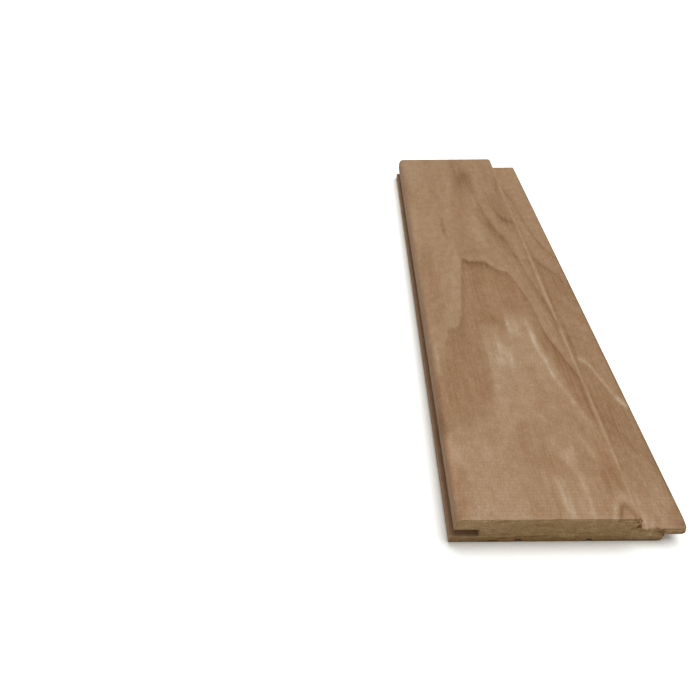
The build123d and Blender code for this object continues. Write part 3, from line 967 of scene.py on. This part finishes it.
# Growth rings. Widths are shares of a ring.
EDGE_WIDTH = 0.06
EDGE_ONSET = 0.012
ONSET_SHARE = 0.6
EDGE_STAIN = 0.28
GLOW_WIDTH = 0.30  # redder wood past the edge
GLOW_HEAT = 0.10
BANDS_IN_RING = 6.0
BAND_HEAT = 0.16
MORE_ON_END = 0.2  # added to the stain of edges and the heat of bands on a sawn end

# Cut arrises are paler, planer ripples cross the wood near its ends, and a sawn end has painted shade
# along its foot and is paler along its top. Distances and heights are in mm.
FRAY_FIBRES = 2.0
FRAY_LEVEL = 0.8
FRAY_PALENESS = 0.42
RIPPLE_TURN = 4.0  # radians for each mm
RIPPLE_WANDER = 1.5
RIPPLE_REACH = 40.0
RIPPLE_STAIN = 0.035
SAWN_FACING = (0.45, 0.75)  # how squarely a sawn end faces along the grain
# painted shade: a sawn end darker towards its foot, where it meets the floor
END_FOOT = (0.3, 4.5)
END_FOOT_SHADE = 0.32
END_TOP = (12.8, 15.0)
END_TOP_PALENESS = 0.08

# Surface
ROUGHNESS = 0.72
STREAK_ROUGHNESS = 0.10
END_ROUGHNESS = 0.1
SPECULAR = 0.08
RELIEF_SHARES = {"fibre": 0.012, "streak": 0.02}  # mm
RIPPLE_RELIEF = 0.002


def wood_material():
    """Planed, heat-treated hardwood as a solid texture, so that face, edges and ends agree."""
    material = bpy.data.materials.new("wood")
    tree, out = emptied(material, "ShaderNodeOutputMaterial")
    bsdf = tree.nodes.new("ShaderNodeBsdfPrincipled")
    feed(tree, out.inputs[0], bsdf.outputs[0])
    coordinates = tree.nodes.new("ShaderNodeTexCoord")
    corner = (-board_low.x / MM, -board_low.y / MM, 0.0)
    place = scaled(tree, coordinates.outputs["Object"], (1 / MM, 1 / MM, 1 / MM), corner)
    x, y, z = split(tree, place)
    facing = split(tree, coordinates.outputs["Normal"])[1]
    sawn_end = facing.math("ABSOLUTE").rise(*SAWN_FACING)
    from_end = y.math("MINIMUM", board_length / MM - y).math("MAXIMUM", 0.0)

    noises = {name: grain(tree, place, *spots) for name, spots in NOISES.items()}
    noises["layers"] = grain(tree, scaled(tree, place, LAYER_STRETCH), *LAYERS)
    up_the_end = joined(tree, x + z * SAW_LEAN, y, z * SAW_MARK_STRETCH)
    noises["saw_marks"] = grain(tree, up_the_end, *SAW_MARKS)

    ring = painted_on(tree, "ring") + mixed(noises, RING_SHARES)
    phase = ring.math("FRACT")
    sharpness = painted_on(tree, "edge")
    edge = phase.falloff(EDGE_WIDTH) + (1 - phase).falloff(EDGE_ONSET) * ONSET_SHARE
    bands_node = tree.nodes.new("ShaderNodeTexNoise")
    bands_node.noise_dimensions = "1D"
    feed(tree, bands_node.inputs["W"], ring * BANDS_IN_RING)
    bands_node.inputs["Scale"].default_value = 1.0
    bands = Wire(tree, bands_node.outputs["Fac"]) - 0.5

    # painted light comes in with the tint attribute and painted shade with the stain attribute, from
    # the strokes and patches marked as such
    heat = painted_on(tree, "tint_and_light") * (noises["streak"] * TINT_STREAKS + 1.0)
    heat = heat + phase.falloff(GLOW_WIDTH) * sharpness * GLOW_HEAT
    heat = heat + bands * (sawn_end * MORE_ON_END + BAND_HEAT) + mixed(noises, HEAT_SHARES)
    frayed = from_end.falloff(FRAY_FADE) * (noises["short_fibre"] * FRAY_FIBRES + FRAY_LEVEL)
    heat = heat - frayed * (1 - sawn_end) * FRAY_PALENESS

    stain_and_shade = painted_on(tree, "stain_and_shade") * (noises["streak"] * STAIN_STREAKS + 1.0)
    stain_and_shade = stain_and_shade + edge * sharpness * (sawn_end * MORE_ON_END + EDGE_STAIN)
    ripple = (y * RIPPLE_TURN + noises["mottle"] * RIPPLE_WANDER).math("SINE")
    ripple = ripple * from_end.falloff(RIPPLE_REACH)
    stain_and_shade = stain_and_shade + mixed(noises, STAIN_SHARES) + ripple * RIPPLE_STAIN
    # painted shade along the foot of a sawn end
    painted_foot_shade = (1 - z.rise(*END_FOOT)) * END_FOOT_SHADE
    top = z.rise(*END_TOP) * END_TOP_PALENESS
    stain_and_shade = stain_and_shade + sawn_end * (mixed(noises, END_SHARES) + painted_foot_shade - top)

    colour = tree.nodes.new("ShaderNodeCombineColor")
    for entry, level, hot, dark, end in zip(colour.inputs, WOOD, HEAT_AND_LIGHT_RATES, STAIN_AND_SHADE_RATES, END_RATES):
        density = heat * hot + stain_and_shade * dark + sawn_end * end
        feed(tree, entry, density.falloff(1.0) * level)
    feed(tree, bsdf.inputs["Base Color"], colour.outputs[0])

    roughness = noises["streak"] * STREAK_ROUGHNESS + sawn_end * END_ROUGHNESS + ROUGHNESS
    feed(tree, bsdf.inputs["Roughness"], roughness)
    bsdf.inputs["Specular IOR Level"].default_value = SPECULAR
    bump = tree.nodes.new("ShaderNodeBump")
    bump.inputs["Distance"].default_value = MM
    feed(tree, bump.inputs["Height"], mixed(noises, RELIEF_SHARES) + ripple * RIPPLE_RELIEF)
    feed(tree, bsdf.inputs["Normal"], bump.outputs[0])
    return material


FLOOR_SIDE = 3.0
FLOOR_SHADE = 0.8
FLOOR_SEEN = (1.61, 1.64, 1.62)  # the camera sees the lit floor as white
# painted shade: the floor under the board is shown this dark
SOLE_PAINTED_SHADE = (0.40, 0.27, 0.15)  # the floor under the board, where no light reaches
SOLE_WIDTH = 82 * MM
SOLE_INSET = 1.0 * MM
UNDER_REACH = 0.9 * MM  # what is nearer than this to the inset sole counts as under the board
# painted contact shadow: the floor is shown darker close to the board
PAINTED_CONTACT_SHADOW = (0.41, 0.41, 0.45)  # darker at the board by these shares
CONTACT_REACH = 3.1 * MM
FAR_LIFT = 2.5  # the far floor is shown lighter, by the square of the distance in metres


def background_rays(tree):
    """1 for the rays that show the background: from the camera, off gloss and through glass."""
    path = tree.nodes.new("ShaderNodeLightPath")
    camera = Wire(tree, path.outputs["Is Camera Ray"])
    gloss = Wire(tree, path.outputs["Is Glossy Ray"])
    return camera.math("MAXIMUM", gloss).math("MAXIMUM", path.outputs["Is Transmission Ray"])


def past_sole(tree):
    """Distance on the floor from the board's back, 0 under it."""
    place = tree.nodes.new("ShaderNodeNewGeometry")
    x, y, _ = split(tree, place.outputs["Position"])
    middle = board_low.x + SOLE_WIDTH / 2
    beside = (x - middle).math("ABSOLUTE") - (SOLE_WIDTH / 2 - SOLE_INSET)
    beyond = y.math("ABSOLUTE") - (board_length / 2 - SOLE_INSET)
    beside, beyond = beside.math("MAXIMUM", 0.0), beyond.math("MAXIMUM", 0.0)
    return (beside * beside + beyond * beyond).math("SQRT")


def add_floor():
    """A plain white floor, which keeps the board's shadow and shows painted shade under the board and
    a painted contact shadow beside it.
    """
    half = FLOOR_SIDE / 2
    mesh = bpy.data.meshes.new("floor")
    corners = [(-half, -half, 0), (half, -half, 0), (half, half, 0), (-half, half, 0)]
    mesh.from_pydata(corners, [], [(0, 1, 2, 3)])
    floor = placed("floor", mesh)
    material = bpy.data.materials.new("floor_white")
    tree, out = emptied(material, "ShaderNodeOutputMaterial")
    matt = tree.nodes.new("ShaderNodeBsdfDiffuse")
    apart = past_sole(tree)
    under = apart.math("LESS_THAN", UNDER_REACH)
    shown = background_rays(tree)
    colour = tree.nodes.new("ShaderNodeCombineColor")
    for entry, lit, dark, shade in zip(colour.inputs, FLOOR_SEEN, SOLE_PAINTED_SHADE, PAINTED_CONTACT_SHADOW):
        # painted contact shadow near the board, and painted shade on the floor under it
        seen = (1 - apart.falloff(CONTACT_REACH) * shade + apart * apart * FAR_LIFT) * lit
        seen = under * (dark - seen) + seen
        feed(tree, entry, shown * (seen - FLOOR_SHADE) + FLOOR_SHADE)
    feed(tree, matt.inputs["Color"], colour.outputs[0])
    feed(tree, out.inputs[0], matt.outputs[0])
    floor.data.materials.append(material)


ROOM_LIGHT = 0.3
SOFTBOX_SIZE = (1.6, 0.9)
SOFTBOX_WATTS = 14.5
SOFTBOX_PLACE = (0.3, 0.22, 1.3)


def add_lights():
    """A wide softbox above and a little behind the board, in a pale room."""
    lamp = bpy.data.lights.new("overhead_softbox", "AREA")
    lamp.shape = "RECTANGLE"
    lamp.size, lamp.size_y = SOFTBOX_SIZE
    lamp.energy = SOFTBOX_WATTS
    rig = placed("overhead_softbox", lamp)
    rig.location = SOFTBOX_PLACE
    rig.rotation_euler = (-rig.location).to_track_quat("-Z", "Y").to_euler()
    world = bpy.data.worlds.new("studio")
    bpy.context.scene.world = world
    tree, out = emptied(world, "ShaderNodeOutputWorld")
    room = tree.nodes.new("ShaderNodeBackground")
    room.inputs["Color"].default_value = (1, 1, 1, 1)
    feed(tree, room.inputs["Strength"], background_rays(tree) * (1 - ROOM_LIGHT) + ROOM_LIGHT)
    feed(tree, out.inputs[0], room.outputs[0])


add_camera()
board = build_board(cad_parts[NODE])
board.data.materials.append(wood_material())
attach(board, "root")
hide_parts(NODE)
add_floor()
add_lights()
bpy.context.scene.view_settings.view_transform = "Standard"
